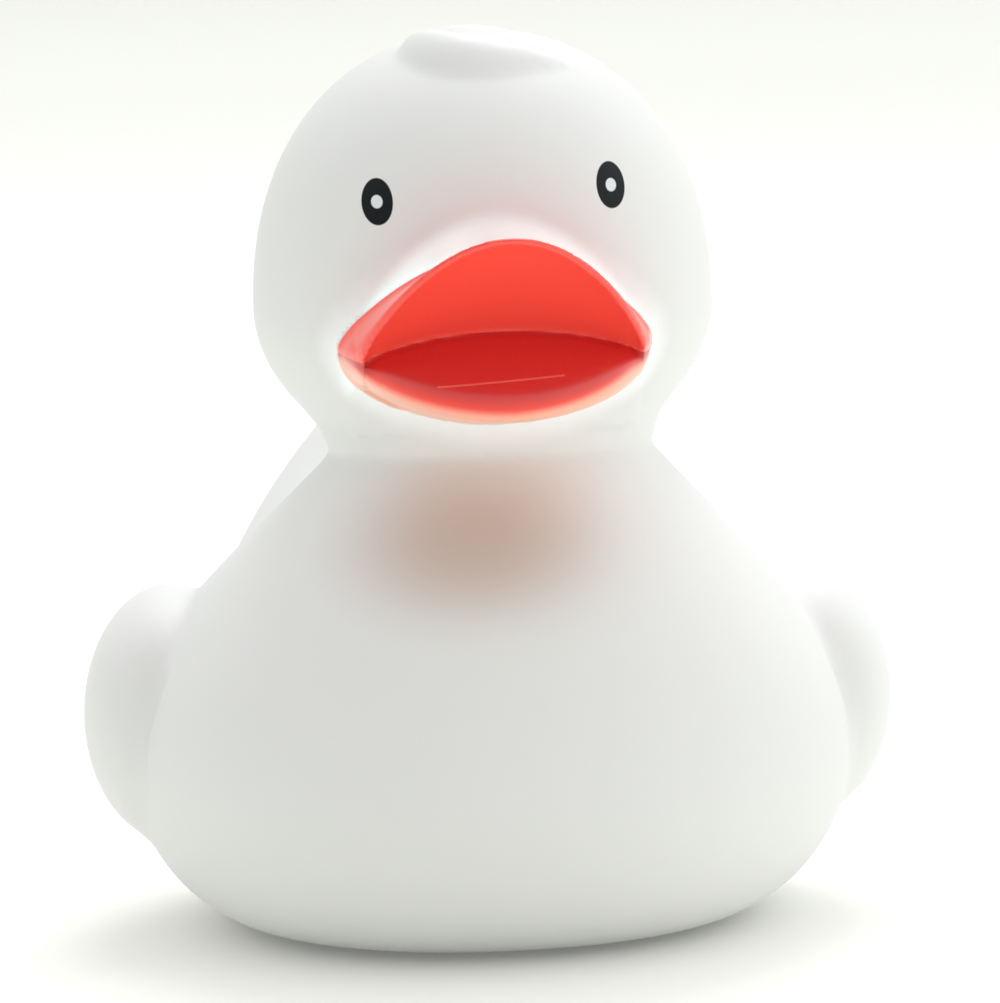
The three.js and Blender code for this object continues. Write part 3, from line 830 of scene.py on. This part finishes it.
# Floor: a flat sheet that turns up behind in a quarter round and stands there as a wall.
def makeFloor():
    rows = np.array(stage["rows"])
    turn = np.linspace(0, math.pi / 2, stage["bendSteps"])
    y = np.concatenate([rows, stage["bendAt"] + stage["bend"] * np.sin(turn), [stage["bendAt"] + stage["bend"]]])
    z = np.concatenate([rows * 0, stage["bend"] * (1 - np.cos(turn)), [stage["top"]]])
    gridX, gridY = np.meshgrid([-stage["half"], 0.0, stage["half"]], y, indexing="ij")
    points = np.stack([gridX, gridY, np.broadcast_to(z, gridX.shape)], -1).reshape(-1, 3) / mm
    index = np.arange(gridX.size).reshape(gridX.shape)
    faces = np.stack([index[:-1, :-1], index[1:, :-1], index[1:, 1:], index[:-1, 1:]], -1).reshape(-1, 4)
    floor = makeMesh("stageFloor", points, faces)
    material, wires, shader = newMaterial("stageWhite")
    wires.feedAll(shader, {"Base Color": stage["colour"], "Roughness": stage["roughness"],
                           "Emission Color": (1, 1, 1, 1), "Emission Strength": stage["glow"]})
    floor.data.materials.append(material)


makeFloor()

light = {"sky": 0.765, "lean": (0.31, 0.48, 0.48), "place": (0.1, 0.5, 0.85), "aim": (0, 0, 0.05), "size": 0.5,
         "power": 2.5}


# Sky: a light tent, brighter to the duck's left, behind it and above, its strength a plane over the direction.
def makeSky():
    world = bpy.data.worlds.new("studioWorld")
    bpy.context.scene.world = world
    world.use_nodes = True
    wires = Wiring(world.node_tree)
    way = wires.add("ShaderNodeTexCoord").outputs["Generated"]
    lean = wires.vector("DOT_PRODUCT", way, light["lean"], "Value")
    wires.feedAll(world.node_tree.nodes["Background"],
                  {"Strength": wires.maths("ADD", lean, light["sky"]), "Color": (1, 1, 1, 1)})


# Lamp: a soft disk above and behind the duck, turned to its aim.
def makeLamp():
    lamp = bpy.data.lights.new("backSoft", "AREA")
    lamp.shape = "DISK"
    lamp.size = light["size"]
    lamp.energy = light["power"]
    holder = bpy.data.objects.new("backSoft", lamp)
    bpy.context.scene.collection.objects.link(holder)
    way = Vector(light["aim"]) - Vector(light["place"])
    holder.matrix_world = Matrix.Translation(light["place"]) @ way.to_track_quat("-Z", "Y").to_matrix().to_4x4()


makeSky()
makeLamp()

camera = {"yaw": 4.84, "tilt": 6.76, "roll": 1.84, "distance": 0.5, "focal": 5507.3, "centre": (479.6, 516.6),
          "frame": (1000, 1003), "aim": (0, 0, 0.036), "sensor": 36, "nearest": 0.01}


# Camera: looks along the fitted yaw and tilt at the aim from the distance, then rolls about its own axis.
# Its focal length and its centre are in pixels of the frame, and the lens takes them as shares of the height.
def makeCamera():
    yaw, tilt, roll = (math.radians(camera[k]) for k in ("yaw", "tilt", "roll"))
    ahead = Vector((math.sin(yaw) * math.cos(tilt), math.cos(yaw) * math.cos(tilt), -math.sin(tilt)))
    right = Vector((math.cos(yaw), -math.sin(yaw), 0))
    up = right.cross(ahead)
    rolledRight = right * math.cos(roll) - up * math.sin(roll)
    rolledUp = right * math.sin(roll) + up * math.cos(roll)
    optics = bpy.data.cameras.new("photoCamera")
    width, height = camera["frame"]
    optics.sensor_width = camera["sensor"]
    optics.lens = camera["focal"] * camera["sensor"] / height
    optics.shift_x = (width / 2 - camera["centre"][0]) / height
    optics.shift_y = (camera["centre"][1] - height / 2) / height
    optics.clip_start = camera["nearest"]
    holder = bpy.data.objects.new("photoCamera", optics)
    bpy.context.scene.collection.objects.link(holder)
    turn = Matrix((rolledRight, rolledUp, -ahead)).transposed()
    holder.matrix_world = Matrix.Translation(Vector(camera["aim"]) - ahead * camera["distance"]) @ turn.to_4x4()
    bpy.context.scene.camera = holder


makeCamera()
bpy.context.scene.view_settings.view_transform = "Standard"
print("stage, light and camera are in place")
